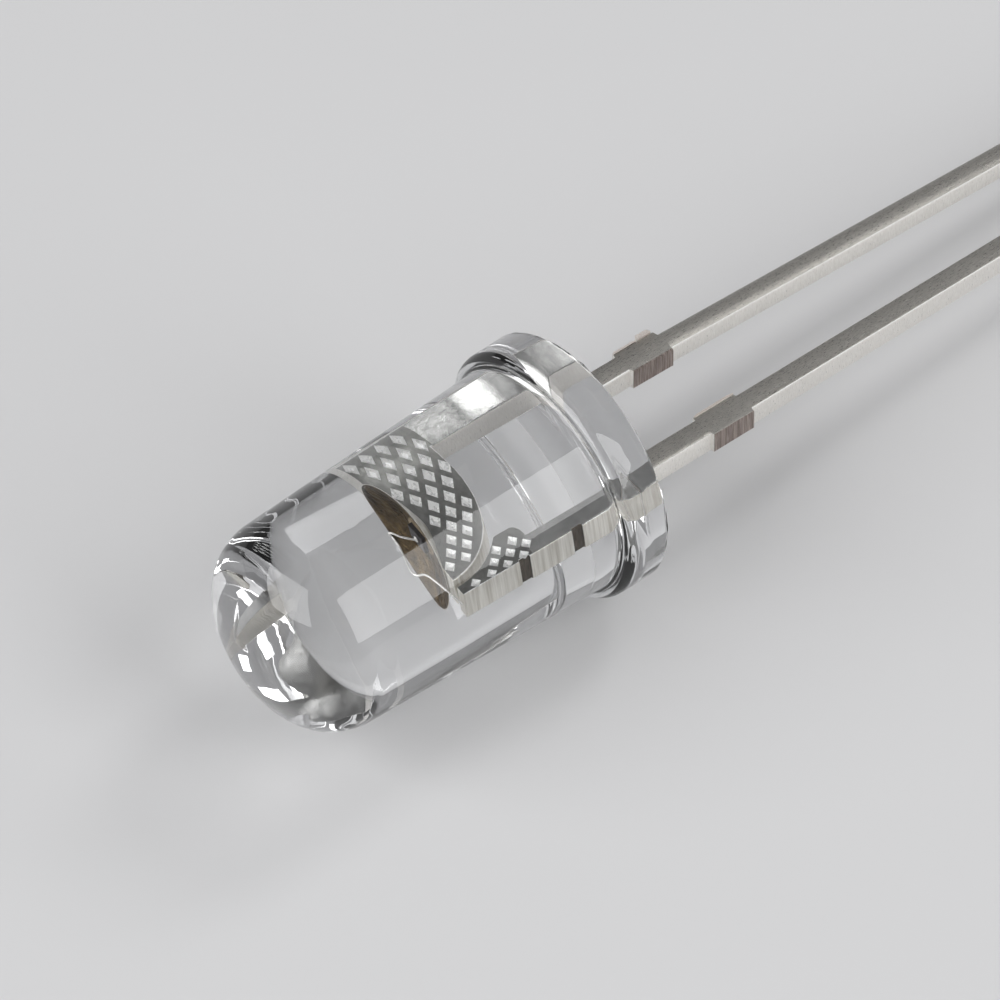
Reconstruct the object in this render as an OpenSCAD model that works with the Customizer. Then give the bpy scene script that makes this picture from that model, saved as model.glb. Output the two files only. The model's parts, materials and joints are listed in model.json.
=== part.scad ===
// Clear 5 mm through-hole LED, lying on its flange rim and the tips of its two leads.
// It is modelled in millimetres with +Z up: the floor is Z = 0 and the leads point to -X.
//
// Two frames are used. In the lead frame's own frame, X runs from the leads to the dome,
// the stamped sheet lies in the XY plane, and the origin is the centre of the body's base.
// The module laid_down() turns that frame into the resting position.

/* [Cast body] */
// Diameter of the straight part of the flange
flange_d = 5.8; // [5.6:0.05:7.2]
// Thickness of the flange
flange_t = 1.0; // [0.7:0.05:1.6]
// Radius along the front edge of the flange
flange_round = 0.26; // [0.1:0.02:0.4]
// Diameter of the body just in front of the flange
body_d = 5.2; // [4.6:0.05:5.4]
// Height of the body from its base to the top of the dome
body_h = 8.75; // [7.6:0.05:10.6]
// Draft of the body's wall in the mould, in degrees
draft = 2.1; // [0.5:0.1:2.5]
// Radius of the dome's shoulder
shoulder_r = 1.4; // [1:0.05:1.8]
// Radius of the dome's cap
cap_r = 3.6; // [3:0.1:5]
// Radius of the fillet between body and flange
foot_fillet = 0.15; // [0.05:0.01:0.2]
// Height of the flat on the flange above the body's wall, on the cathode's side
flat_step = 0.04; // [0.02:0.01:0.15]
// Depth to which the resin's free surface sinks at the centre of the base
base_sink = 0.08; // [0.02:0.01:0.2]
// Height to which the resin climbs the leads above the base's surface
meniscus_h = 0.09; // [0.04:0.01:0.14]
// Radius to which that climb spreads around a lead
meniscus_r = 0.62; // [0.5:0.02:0.8]

/* [Leads] */
// Thickness of the sheet that the lead frame is stamped from
sheet_t = 0.5; // [0.4:0.02:0.6]
// Width of a lead
lead_w = 0.5; // [0.4:0.02:0.6]
// Distance between the centre lines of the leads
lead_pitch = 2.54; // [2.4:0.02:2.7]
// Length of the cathode lead below the base
cathode_len = 25.4; // [12:0.2:30]
// Length of the anode lead below the base
anode_len = 27; // [12:0.2:32]
// Radius of the rolled-over corners on the punch side of a lead
roll_r = 0.07; // [0.02:0.01:0.12]
// Angle by which the cathode lead is bent towards the anode lead, in degrees
cathode_toe = 2; // [0:0.1:3]
// Angle by which the nose of the body dips below the line of the leads, in degrees
nose_dip = 1.2; // [0:0.1:2]

/* [Dam bar stubs] */
// Distance from the base to the sheared dam bar
dam_from_base = 2.43; // [1.5:0.01:4]
// Width of the dam bar
dam_w = 1.15; // [0.6:0.05:1.6]
// Length of the stub that shearing leaves on each side of a lead
dam_stub = 0.09; // [0.02:0.01:0.2]

/* [Cathode anvil and cup] */
// Height of the rim of the cup above the base
cup_top = 4.6; // [4:0.05:5.4]
// Radius of the anvil's corner towards the anode post
anvil_r = 1.8; // [1.5:0.05:2]
// Outer radius of the cup's rim
cup_r = 0.97; // [0.8:0.01:1]
// Distance of the cup's axis from the middle of the anvil, towards the post
cup_offset = 0.07; // [0:0.01:0.12]
// Depth of the cup
cup_depth = 0.25; // [0.2:0.01:0.4]
// Radius of the cup's floor
cup_floor_r = 0.42; // [0.35:0.01:0.5]
// Width of the cup's rim
cup_rim = 0.09; // [0.06:0.01:0.14]
// Height of the cup's rim above the end of the anvil's plate
cup_proud = 0.03; // [0.01:0.01:0.06]
// Radius at which the cup's outside ends in the middle of the anvil
bowl_foot_r = 0.18; // [0.1:0.01:0.19]

/* [Anode post] */
// Gap between the anvil and the anode post
stamp_gap = 0.18; // [0.12:0.01:0.3]
// Distance from the base to the foot of the post's head
post_foot = 2.6; // [2:0.05:3.2]
// Width of the post's head at its foot
post_w = 0.82; // [0.6:0.02:1]
// Width of the post's tip, which the wire lands on
post_tip_w = 0.26; // [0.2:0.01:0.36]
// Radius of the corners of the post's head
post_corner = 0.24; // [0.1:0.02:0.35]
// Height of the middle of the upper nick in the post's outer side
nick_from_base = 2.98; // [2.7:0.02:3.6]
// Distance between the two nicks
nick_spacing = 1.4; // [0.8:0.05:1.6]
// Width of a nick
nick_w = 0.28; // [0.1:0.02:0.4]
// Depth of a nick
nick_depth = 0.05; // [0.02:0.01:0.08]
// Distance to which a nick reaches below the middle of the sheet
nick_below = 0.1; // [0:0.01:0.16]

/* [Coined grip pattern] */
// Distance between neighbouring pits
pit_pitch = 0.3; // [0.24:0.01:0.4]
// Width of a pit at the surface
pit_w = 0.19; // [0.12:0.01:0.22]
// Width of a pit at its floor
pit_floor_w = 0.09; // [0.04:0.01:0.12]
// Depth of a pit
pit_depth = 0.05; // [0.02:0.01:0.08]
// Width of the plain edge around the pattern; below 0 the edge cuts into the pits
pit_margin = -0.04; // [-0.06:0.01:0.1]
// Distance from the cup's rim back to the pattern's middle pit
pit_from_rim = 0.82; // [0.5:0.01:1.2]
// Distance of the middle pit from the LED's axis, on the cathode's side
pit_from_axis = 0.28; // [0:0.01:0.6]

/* [Chip and wire] */
// Side of the square chip
chip_w = 0.32; // [0.2:0.01:0.36]
// Thickness of the chip
chip_t = 0.11; // [0.08:0.01:0.16]
// Thickness of the silver adhesive under the chip
glue_t = 0.02; // [0.01:0.005:0.04]
// Distance to which the adhesive spreads beyond the chip's corners
glue_spread = 0.06; // [0.02:0.01:0.1]
// Diameter of the bond wire
wire_d = 0.036; // [0.025:0.001:0.05]
// Diameter of the ball that bonds the wire to the chip
ball_d = 0.1; // [0.08:0.005:0.12]
// Height of the squashed ball
ball_h = 0.04; // [0.03:0.005:0.06]

/* [Hidden] */
$fn = 96;
eps = 0.01;
overlap = 0.1;
tip_flat_r = 0.03;

// ---- Places that several pieces share ----
lead_y = lead_pitch / 2;
outer_y = lead_y + lead_w / 2;
anvil_w = 2 * outer_y - stamp_gap - post_tip_w;
cup_y = -outer_y + anvil_w / 2 + cup_offset;
arc_y = -outer_y + anvil_w - anvil_r;
arc_r_post = anvil_r + stamp_gap;
cup_floor = cup_top - cup_depth;
cup_mouth_r = cup_r - cup_rim;
cup_slope = (cup_mouth_r - cup_floor_r) / cup_depth;
glue_top = cup_floor + glue_t;
chip_top = glue_top + chip_t;
bend_x = -dam_from_base - dam_w / 2;

// ---- The pits lie on one square lattice, turned by 45 degrees, across anvil and post ----
pit_half = pit_w / sqrt(2);
pit_clear = pit_half + pit_margin;
pit_reach = ceil(norm([anvil_r, 2 * outer_y]) / pit_pitch);
pit_lattice = [for (i = [-pit_reach:pit_reach], j = [-pit_reach:pit_reach])
    [cup_top - pit_from_rim, -pit_from_axis] + pit_pitch / sqrt(2) * [i + j, i - j]];
function within(p, x0, x1, y0, y1) = p.x > x0 + pit_clear && p.x < x1 - pit_clear
    && p.y > y0 + pit_clear && p.y < y1 - pit_clear;
function bowl_half(x) = let (r = max(cup_r - (cup_top - x) * cup_slope, 0))
    sqrt(max(r^2 - (sheet_t / 2)^2, 0));
function clear_of_bowl(p) = let (half = bowl_half(p.x + pit_clear))
    half == 0 || abs(p.y - cup_y) > half + pit_half;
anvil_pits = [for (p = pit_lattice)
    if (within(p, cup_top - anvil_r, cup_top, -outer_y, outer_y) && clear_of_bowl(p)
        && (p.y < arc_y || norm(p - [cup_top, arc_y]) < anvil_r - pit_clear)) p];
post_pits = [for (p = pit_lattice)
    if (within(p, post_foot, cup_top, outer_y - post_w, outer_y - nick_depth)
        && norm(p - [cup_top, arc_y]) > arc_r_post + pit_clear) p];

// ---- Profile of the cast body: the shoulder's arc is tangent to the drafted wall
// and to the cap's arc, which fixes the height and radius of the shoulder's centre ----
wall_r = body_d / 2 + flange_t * tan(draft);
cap_z = body_h - cap_r;
arc_gap = cap_r - shoulder_r;
wall_a = wall_r - shoulder_r / cos(draft);
half_b = wall_a * tan(draft) + cap_z;
shoulder_z = (half_b + sqrt(half_b^2 - (1 + tan(draft)^2)
              * (wall_a^2 + cap_z^2 - arc_gap^2))) / (1 + tan(draft)^2);
shoulder_x = wall_a - shoulder_z * tan(draft);
cap_a = atan2(shoulder_x, shoulder_z - cap_z);
fillet_z = flange_t + foot_fillet;
fillet_x = wall_r + foot_fillet / cos(draft) - fillet_z * tan(draft);

// ---- The plane that the LED lies on touches the flange rim and both lead tips ----
body_axis = [cos(nose_dip), 0, -sin(nose_dip)];
function toed_in(p) = [bend_x + (p.x - bend_x) * cos(cathode_toe) + p.y * sin(cathode_toe),
                       (p.x - bend_x) * -sin(cathode_toe) + p.y * cos(cathode_toe), p.z];
function tip_corners(len, side) = [for (dy = [-1, 1])
    side < 0 ? toed_in([-len, dy * lead_w / 2, -sheet_t / 2]) + [0, -lead_y, 0]
             : [-len, lead_y + dy * lead_w / 2, -sheet_t / 2]];
function lowest(points, up) = let (h = [for (p = points) p * up])
    points[search(min(h), h)[0]];
function rim_low(up) = let (v = up - (up * body_axis) * body_axis)
    -flange_d / 2 * v / norm(v);
function plane_up(a, b, c) = let (n = cross(b - a, c - a)) n / norm(n) * sign(n.z);
function settled(up, steps) = steps == 0 ? up : settled(plane_up(rim_low(up),
    lowest(tip_corners(cathode_len, -1), up), lowest(tip_corners(anode_len, 1), up)), steps - 1);
floor_up = settled([0.1, 0, 1] / norm([0.1, 0, 1]), 8);
roll = atan2(floor_up.y, floor_up.z);
pitch = -atan2(floor_up.x, norm([floor_up.y, floor_up.z]));
base_height = -(rim_low(floor_up) * floor_up);
reach_front = cap_z * cos(pitch + nose_dip) + cap_r;
reach_back = anode_len * cos(pitch);
flat_y = body_d / 2 + flat_step;
flat_shift = flange_d / 4 * (1 - cos(acos(2 * flat_y / flange_d) - abs(roll)));

// ---- Route of the bond wire: up from the ball, over a loop, and down to the post ----
wire_lift = 0.008;
wire_foot = 0.06;
wire_land = [cup_top + wire_d / 2 + wire_lift, outer_y - post_tip_w / 2, 0];
wire_rise = [[0.25, -0.12, 0.02], [0.35, -0.25, 0.03], [0.41, -0.3, -0.01], [0.37, -0.24, -0.06],
             [0.39, -0.06, -0.07], [0.51, 0.2, -0.07], [0.58, 0.42, -0.05], [0.51, 0.53, -0.02],
             [0.39, 0.57, 0], [0.31, 0.72, 0]];
wire_points = concat([[chip_top + ball_h - eps, cup_y, 0]],
                     [for (p = wire_rise) [chip_top + p.x, cup_y + p.y, p.z]],
                     [wire_land - [0, wire_foot, 0], wire_land + [0, wire_foot, 0]]);
wire_sides = 8;
wire_steps = 2;

module laid_down() {
    translate([(reach_back - reach_front) / 2, -flat_shift, base_height])
        rotate([roll, pitch, 0])
            children();
}

// Turns a profile drawn with X as radius and Y as height about the body's own axis.
module about_body_axis() {
    rotate([0, 90 + nose_dip, 0])
        rotate_extrude()
            children();
}

// Half outline of the flange with its rounded front edge.
module flange_profile() {
    r = flange_d / 2;
    difference() {
        square([r, flange_t]);
        difference() {
            translate([r - flange_round, flange_t - flange_round])
                square(flange_round + eps);
            translate([r - flange_round, flange_t - flange_round])
                circle(flange_round);
        }
    }
}

// Fillet where the drafted wall meets the flange.
module fillet_profile() {
    touch = [fillet_x - foot_fillet * cos(draft), fillet_z - foot_fillet * sin(draft)];
    difference() {
        polygon([[fillet_x, flange_t], [fillet_x, fillet_z], touch,
                 [touch.x - overlap, touch.y], [touch.x - overlap, flange_t - overlap],
                 [fillet_x, flange_t - overlap]]);
        translate([fillet_x, fillet_z])
            circle(foot_fillet);
    }
}

// Sector of a disc of radius r, from angle a0 to angle a1 above the X axis.
module sector(r, a0, a1) {
    intersection() {
        circle(r);
        polygon([[0, 0], 2 * r * [cos(a0), sin(a0)], 2 * r * [cos(a1), sin(a1)]]);
    }
}

// Half outline of the drafted wall and the dome, which a tiny flat closes at its top.
module shell_profile() {
    wall_top = [shoulder_x + shoulder_r * cos(draft), shoulder_z + shoulder_r * sin(draft)];
    intersection() {
        union() {
            polygon([[0, 0], [wall_r, 0], wall_top, [shoulder_x, shoulder_z], [0, shoulder_z]]);
            translate([shoulder_x, shoulder_z])
                circle(shoulder_r);
            translate([0, cap_z])
                sector(cap_r, 90 - cap_a, 120);
        }
        square([flange_d, cap_z + sqrt(cap_r^2 - tip_flat_r^2)]);
    }
}

// Resin that climbs the leads on the free surface of the base.
module menisci() {
    top_r = norm([lead_w, sheet_t]) / 2 + eps;
    slope = (meniscus_r - top_r) / meniscus_h;
    resin_x = base_sink * (1 - (lead_pitch / flange_d)^2);
    for (y = [-lead_y, lead_y])
        translate([resin_x - meniscus_h, y, 0])
            rotate([0, 90, 0])
                cylinder(h = meniscus_h + overlap, r1 = top_r, r2 = meniscus_r + slope * overlap);
}

// The cast body without the hollows that the lead frame fills.
module casting() {
    sink_r = (flange_d^2 / 8 + base_sink^2 / 2) / base_sink;
    difference() {
        about_body_axis() {
            flange_profile();
            fillet_profile();
            shell_profile();
        }
        // Flat on the cathode's side of the flange
        rotate([0, nose_dip, 0])
            translate([-eps, -flange_d, -flange_d])
                cube([fillet_z + 2 * eps, flange_d - flat_y, 2 * flange_d]);
        // Sunken free surface of the resin
        rotate([0, nose_dip, 0])
            translate([base_sink - sink_r, 0, 0])
                rotate([0, 0, 180])
                    sphere(sink_r);
    }
    menisci();
}

// Length of lead along X from x0 to x1, centred on the axis, rolled over on its top corners.
module lead_length(x0, x1) {
    w = lead_w / 2;
    t = sheet_t / 2;
    translate([x0, 0, 0])
        rotate([90, 0, 90])
            linear_extrude(x1 - x0) {
                translate([-w, -t])
                    square([lead_w, sheet_t - roll_r]);
                translate([-w + roll_r, -t])
                    square([lead_w - 2 * roll_r, sheet_t]);
                for (s = [-1, 1])
                    translate([s * (w - roll_r), t - roll_r])
                        circle(roll_r);
            }
}

// Lead with the stubs of the sheared dam bar, bent by toe degrees at the bar.
module lead(len, inside, toe) {
    lead_length(bend_x, inside);
    translate([bend_x, 0, 0])
        rotate([0, 0, -toe])
            lead_length(-len - bend_x, 0);
    translate([-dam_from_base - dam_w, -lead_w / 2 - dam_stub, -sheet_t / 2])
        cube([dam_w, lead_w + 2 * dam_stub, sheet_t]);
}

// Stamped plate of the outline given as child.
module stamped() {
    translate([0, 0, -sheet_t / 2])
        linear_extrude(sheet_t)
            children();
}

module anvil_outline() {
    intersection() {
        translate([cup_top - anvil_r, -outer_y])
            square([anvil_r - cup_proud, anvil_w]);
        union() {
            translate([cup_top, arc_y])
                circle(anvil_r);
            translate([cup_top - anvil_r, -outer_y])
                square([anvil_r, arc_y + outer_y]);
        }
    }
}

// The post's head follows the anvil's round corner at the stamped gap.
module post_outline() {
    y0 = outer_y - post_w;
    difference() {
        translate([post_foot, y0])
            square([cup_top - post_foot, post_w]);
        translate([cup_top, arc_y])
            circle(arc_r_post);
        difference() {
            translate([post_foot - eps, y0 - eps])
                square(post_corner + eps);
            translate([post_foot + post_corner, y0 + post_corner])
                circle(post_corner);
        }
    }
}

// Bar whose section is that of a pit; two that cross leave a pit with four sloping sides.
module pit_bar() {
    rise = (pit_w - pit_floor_w) / 2 * eps / pit_depth;
    rotate([90, 0, 0])
        translate([0, 0, -pit_w])
            linear_extrude(2 * pit_w)
                polygon([[-pit_floor_w / 2, -pit_depth], [pit_floor_w / 2, -pit_depth],
                         [pit_w / 2 + rise, eps], [-pit_w / 2 - rise, eps]]);
}

// Coined pits in the top face of a plate.
module pits(places) {
    for (p = places)
        translate([p.x, p.y, sheet_t / 2])
            intersection() {
                rotate(45)
                    pit_bar();
                rotate(-45)
                    pit_bar();
            }
}

// Cone about the cup's axis, from radius r0 at height x0 to radius r1 at height x1.
module cup_cone(x0, r0, x1, r1) {
    translate([x0, cup_y, 0])
        rotate([0, 90, 0])
            cylinder(h = x1 - x0, r1 = r0, r2 = r1);
}

module cathode_solid() {
    difference() {
        union() {
            stamped()
                anvil_outline();
            translate([0, -lead_y, 0])
                lead(cathode_len, cup_top - anvil_r + roll_r, cathode_toe);
            cup_cone(cup_top - (cup_r - bowl_foot_r) / cup_slope, bowl_foot_r, cup_top, cup_r);
        }
        pits(anvil_pits);
        cup_cone(cup_floor, cup_floor_r, cup_top + eps, cup_mouth_r + eps * cup_slope);
    }
}

module anode_solid() {
    difference() {
        union() {
            stamped()
                post_outline();
            translate([0, lead_y, 0])
                lead(anode_len, post_foot + roll_r, 0);
        }
        pits(post_pits);
        // Nicks in the post's outer side
        for (x = [nick_from_base, nick_from_base - nick_spacing])
            translate([x - nick_w / 2, outer_y - nick_depth, -nick_below])
                cube([nick_w, nick_depth + eps, sheet_t]);
    }
}

module chip_solid() {
    translate([glue_top, cup_y - chip_w / 2, -chip_w / 2])
        cube([chip_t, chip_w, chip_w]);
}

// Flat fillet of adhesive that the chip stands on.
module adhesive_solid() {
    corner_r = chip_w / sqrt(2);
    foot_r = min(corner_r + glue_spread, cup_floor_r - eps);
    cup_cone(cup_floor, foot_r, glue_top, (corner_r + foot_r) / 2);
}

// Point on the smooth curve through a, b, c and d, at t of the way from b to c.
function on_curve(a, b, c, d, t) =
    ((-a + 3 * b - 3 * c + d) * t^3 + (2 * a - 5 * b + 4 * c - d) * t^2
     + (c - a) * t + 2 * b) / 2;
function smooth(p, steps) = concat([for (i = [0:len(p) - 2], k = [0:steps - 1])
    on_curve(p[max(i - 1, 0)], p[i], p[i + 1], p[min(i + 2, len(p) - 1)], k / steps)],
    [p[len(p) - 1]]);
function direction(p, i) = let (v = p[min(i + 1, len(p) - 1)] - p[max(i - 1, 0)]) v / norm(v);

// Wire of round section swept along the points p.
module swept(p, r, sides) {
    last = len(p) - 1;
    rings = [for (i = [0:last]) let (d = direction(p, i), u = cross(d, [0, 0, 1]),
             a = u / norm(u), b = cross(d, a))
             for (k = [0:sides - 1]) p[i] + r * (cos(360 * (k + 0.5) / sides) * a
                                                + sin(360 * (k + 0.5) / sides) * b)];
    walls = [for (i = [0:last - 1], k = [0:sides - 1]) let (n = (k + 1) % sides)
             [i * sides + k, (i + 1) * sides + k, (i + 1) * sides + n, i * sides + n]];
    polyhedron(rings, concat([[for (k = [0:sides - 1]) k]], walls,
                             [[for (k = [sides - 1:-1:0]) last * sides + k]]));
}

module wire_solid() {
    swept(smooth(wire_points, wire_steps), wire_d / 2, wire_sides);
    translate([chip_top, cup_y, 0])
        rotate([0, 90, 0])
            cylinder(h = ball_h, d = ball_d);
}

module epoxy_body() {
    color([0.86, 0.89, 0.92, 0.35])
        laid_down()
            difference() {
                casting();
                cathode_solid();
                anode_solid();
                chip_solid();
                adhesive_solid();
                wire_solid();
            }
}

module cathode_lead() {
    color([0.76, 0.75, 0.72])
        laid_down()
            cathode_solid();
}

module anode_lead() {
    color([0.74, 0.73, 0.7])
        laid_down()
            anode_solid();
}

module led_chip() {
    color([0.12, 0.1, 0.1])
        laid_down()
            chip_solid();
}

module chip_adhesive() {
    color([0.72, 0.6, 0.38])
        laid_down()
            adhesive_solid();
}

module bond_wire() {
    color([0.9, 0.86, 0.78])
        laid_down()
            wire_solid();
}

epoxy_body();
cathode_lead();
anode_lead();
led_chip();
chip_adhesive();
bond_wire();
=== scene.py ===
"""Clear 5 mm through-hole LED, lying on its flange rim and the tips of its two leads."""
import json
import math
import bmesh
import bpy
from mathutils import Matrix, Vector


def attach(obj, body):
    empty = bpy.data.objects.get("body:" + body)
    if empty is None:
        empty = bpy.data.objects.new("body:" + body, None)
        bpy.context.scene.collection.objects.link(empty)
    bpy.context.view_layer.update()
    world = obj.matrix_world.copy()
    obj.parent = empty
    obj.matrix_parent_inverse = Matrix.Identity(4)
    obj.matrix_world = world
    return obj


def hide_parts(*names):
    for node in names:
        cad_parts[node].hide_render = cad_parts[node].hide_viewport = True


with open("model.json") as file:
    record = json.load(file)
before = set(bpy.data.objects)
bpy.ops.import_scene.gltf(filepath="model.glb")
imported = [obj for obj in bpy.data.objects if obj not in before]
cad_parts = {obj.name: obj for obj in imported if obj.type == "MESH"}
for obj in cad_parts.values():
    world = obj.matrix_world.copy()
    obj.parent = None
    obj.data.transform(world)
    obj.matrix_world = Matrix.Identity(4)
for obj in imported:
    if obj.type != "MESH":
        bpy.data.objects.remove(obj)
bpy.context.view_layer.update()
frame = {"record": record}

MM = 0.001

# ---- Sizes of the part, in millimetres and radians, the same as in its source ----
FLANGE_R = 2.9
FLANGE_T = 1.0
FLANGE_ROUND = 0.26
BODY_R = 2.6
BODY_H = 8.75
DRAFT = math.radians(2.1)
SHOULDER_R = 1.4
CAP_R = 3.6
FOOT_FILLET = 0.15
FLAT_STEP = 0.04
BASE_SINK = 0.08
MENISCUS_H = 0.09
MENISCUS_R = 0.62

SHEET_T = 0.5
LEAD_W = 0.5
LEAD_PITCH = 2.54
CATHODE_LEN = 25.4
ANODE_LEN = 27.0
CATHODE_TOE = math.radians(2.0)
DAM_FROM_BASE = 2.43
DAM_W = 1.15
DAM_STUB = 0.09

CUP_TOP = 4.6
ANVIL_R = 1.8
CUP_R = 0.97
CUP_OFFSET = 0.07
CUP_DEPTH = 0.25
CUP_FLOOR_R = 0.42
CUP_RIM = 0.09
CUP_PROUD = 0.03
BOWL_FOOT_R = 0.18
STAMP_GAP = 0.18
POST_FOOT = 2.6
POST_W = 0.82
POST_TIP_W = 0.26
POST_CORNER = 0.24
NICK_FROM_BASE = 2.98
NICK_SPACING = 1.4
NICK_W = 0.28
NICK_DEPTH = 0.05

PIT_PITCH = 0.3
PIT_W = 0.19
PIT_FLOOR_W = 0.09
PIT_DEPTH = 0.05
PIT_MARGIN = -0.04
PIT_FROM_RIM = 0.82
PIT_FROM_AXIS = 0.28

CHIP_W = 0.32
CHIP_T = 0.11
GLUE_T = 0.02
GLUE_SPREAD = 0.06
WIRE_D = 0.036
WIRE_LIFT = 0.008
WIRE_FOOT = 0.06
WIRE_RISE = [(0.25, -0.12, 0.02), (0.35, -0.25, 0.03), (0.41, -0.3, -0.01), (0.37, -0.24, -0.06),
             (0.39, -0.06, -0.07), (0.51, 0.2, -0.07), (0.58, 0.42, -0.05), (0.51, 0.53, -0.02),
             (0.39, 0.57, 0), (0.31, 0.72, 0)]
BALL_D = 0.1
BALL_H = 0.04

# ---- Sizes of the finer detail, in millimetres ----
# Unevenness of the mould under the dome: its share of the radius, how far below the axis it
# starts, the length over which it comes in from the dome's foot, and how quick its waves are
MOULD_WAVE = 0.009
WAVE_BELOW = 0.2
WAVE_EASE = 0.6
WAVE_ACROSS = 12
WAVE_ALONG = 10
WAVE_SKEW = 5
WAVE_SHIFT = 3

# Flash on the rim of the base: how far it stands back and out, and how quick its rags are
FLASH_BACK = 0.035
FLASH_OUT = 0.014
FLASH_RAGS = (23, 5)
RAG_RATIO = 1.7
RAG_SHIFT = 1.3

# Corners that the punch rolled over, and corners that the die only eased
CATHODE_ROLL = 0.22
CATHODE_EASE = 0.04
ANVIL_EASE = 0.03
ANODE_ROLL = 0.11
ANODE_EASE = 0.03
POST_EASE = 0.02
SHEAR_EASE = 0.015
STUB_TAPER = 0.02
NICK_TAPER = 0.02

# Burrs on the stubs: from x to x, width, height and the place in the run of rags; then, for all
# of them, the quickness of the rags, the least width, the bite into the stub, the depth, the
# eased edges, the reach in which a face is burr, and ends that taper over an eighth of the length
CATHODE_BURR = (-2.46, -3.08, 0.05, 0.018, 1)
CATHODE_KNOB = (-3.12, -3.5, 0.15, 0.05, 4)
ANODE_BURR = (-2.48, -3.56, 0.05, 0.018, 7)
BURR_RAGS = 2.3
BURR_ROOT = 0.004
BURR_BITE = 0.03
BURR_DEEP = 0.14
BURR_EASE = 0.006
BURR_REACH = 0.12
BURR_TAPER = 8

# Eased corners of the cup's wall, as steps along its axis and across it, and how far the hollow
# that is cut for the wall reaches below the cup's floor and above its mouth
CUP_FOOT_STEPS = ((0, -0.03), (0.006, -0.01), (0.02, 0.02))
LIP_EASE = 0.014
LIP_STEP = (0.004, 0.001)
RIM_STEPS = ((0, 0.026), (0.003, 0.013))
RIM_EASE = 0.01
HOLLOW_UNDER = 0.02
HOLLOW_OVER = 0.1

# How far below the anvil its darker painted-shade ground still reaches, and how far below the cup's
# rim the pits end
KNURL_BELOW = 0.05
PIT_BELOW = 0.1

# The chip's eased edges, the steps of the adhesive's fillet, and the ball: how flat it is, and
# where its middle and the wire's start lie, as shares of its size
CHIP_EASE = 0.008
GLUE_FOOT = (0.008, 0.05)
GLUE_CLIMB = (0.01, -0.02)
GLUE_CROWN = 0.012
BALL_SQUASH = 0.5
BALL_MIDDLE = 0.4
WIRE_START = 0.7

# Steps of the turned and rounded shapes
BODY_STEPS = 160
BASE_STEPS = 60
CUP_STEPS = 96
GLUE_STEPS = 48
WIDE_ARC = 24
POST_ARC = 16
SMALL_ARC = 8
BURR_STEPS = 16
ROLL_STEPS = 5

# Points nearer than WELD become one, edges shorter than SLIVER go, and a point nearer than
# ON_PLANE to a cut counts as on it
WELD = 1e-5
SLIVER = 2e-5
ON_PLANE = 1e-6

# Margins for telling where a point or the middle of a face lies
TOUCH = 1e-4
HAIR = 0.001
NEAR = 0.01

# Shares of a face's normal that tell how it lies
FLAT = 0.75
PIT_UP = 0.6
# ROLL_SIDE and ROLL_UP pick the rolled faces that get the painted highlight
ROLL_SIDE = 0.3
ROLL_UP = 0.2
END_ON = 0.5

# ---- Places that follow from them ----
LEAD_Y = LEAD_PITCH / 2
OUTER_Y = LEAD_Y + LEAD_W / 2
ANVIL_W = 2 * OUTER_Y - STAMP_GAP - POST_TIP_W
CUP_Y = -OUTER_Y + ANVIL_W / 2 + CUP_OFFSET
ARC_Y = -OUTER_Y + ANVIL_W - ANVIL_R
ANVIL_FOOT = CUP_TOP - ANVIL_R - KNURL_BELOW
POST_ARC_R = ANVIL_R + STAMP_GAP
NICKS = (NICK_FROM_BASE, NICK_FROM_BASE - NICK_SPACING)
CUP_FLOOR = CUP_TOP - CUP_DEPTH
CUP_MOUTH_R = CUP_R - CUP_RIM
CUP_SLOPE = (CUP_MOUTH_R - CUP_FLOOR_R) / CUP_DEPTH
GLUE_TOP = CUP_FLOOR + GLUE_T
CHIP_TOP = GLUE_TOP + CHIP_T
STUB_TOP = -DAM_FROM_BASE
STUB_END = -DAM_FROM_BASE - DAM_W
BEND_X = -DAM_FROM_BASE - DAM_W / 2
TOP = SHEET_T / 2


# ---- Where the lead frame and the body lie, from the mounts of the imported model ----
def axes_of_rest():
    """Matrices that take millimetres in the lead frame and in the body to the resting place."""
    mounts = {m["name"]: m for m in frame["record"]["mounts"]}
    body_x = Vector(mounts["flange_rim"]["axis"]).normalized()
    lead_x = -Vector(mounts["lead_pair"]["axis"]).normalized()
    side = body_x.cross(lead_x).normalized() * -1
    straight = (FLANGE_T - FLANGE_ROUND) * MM
    base = Vector(mounts["flange_rim"]["pos_m"]) - body_x * straight / 2
    placed = []
    for x in (lead_x, body_x):
        turn = Matrix((x, side, x.cross(side))).transposed().to_4x4()
        placed.append(Matrix.Translation(base) @ turn @ Matrix.Scale(MM, 4))
    return placed


LEAD_PLACE, BODY_PLACE = axes_of_rest()


# ---- Mesh helpers ----
def arc(centre, radius, start, end, steps):
    """Points on an arc, with angles in degrees."""
    angles = [math.radians(start + (end - start) * k / steps) for k in range(steps + 1)]
    return [(centre[0] + radius * math.cos(a), centre[1] + radius * math.sin(a)) for a in angles]


def revolve(profile, steps):
    """Closed body of revolution about X, from a profile of (along, radius) pairs."""
    bm = bmesh.new()
    verts = [bm.verts.new((x, r, 0)) for x, r in profile]
    edges = [bm.edges.new(pair) for pair in zip(verts, verts[1:])]
    bmesh.ops.spin(bm, geom=verts + edges, cent=(0, 0, 0), axis=(1, 0, 0), dvec=(0, 0, 0),
                   angle=math.tau, steps=steps, use_merge=True, use_duplicate=False)
    bmesh.ops.remove_doubles(bm, verts=bm.verts, dist=WELD)
    bmesh.ops.recalc_face_normals(bm, faces=bm.faces)
    return bm


def slab(outline, low, high):
    """Prism of an outline between two heights."""
    bm = bmesh.new()
    face = bm.faces.new([bm.verts.new((x, y, low)) for x, y in outline])
    grown = bmesh.ops.extrude_face_region(bm, geom=[face])
    moved = [g for g in grown["geom"] if isinstance(g, bmesh.types.BMVert)]
    bmesh.ops.translate(bm, verts=moved, vec=(0, 0, high - low))
    bmesh.ops.recalc_face_normals(bm, faces=bm.faces)
    return bm


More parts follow.
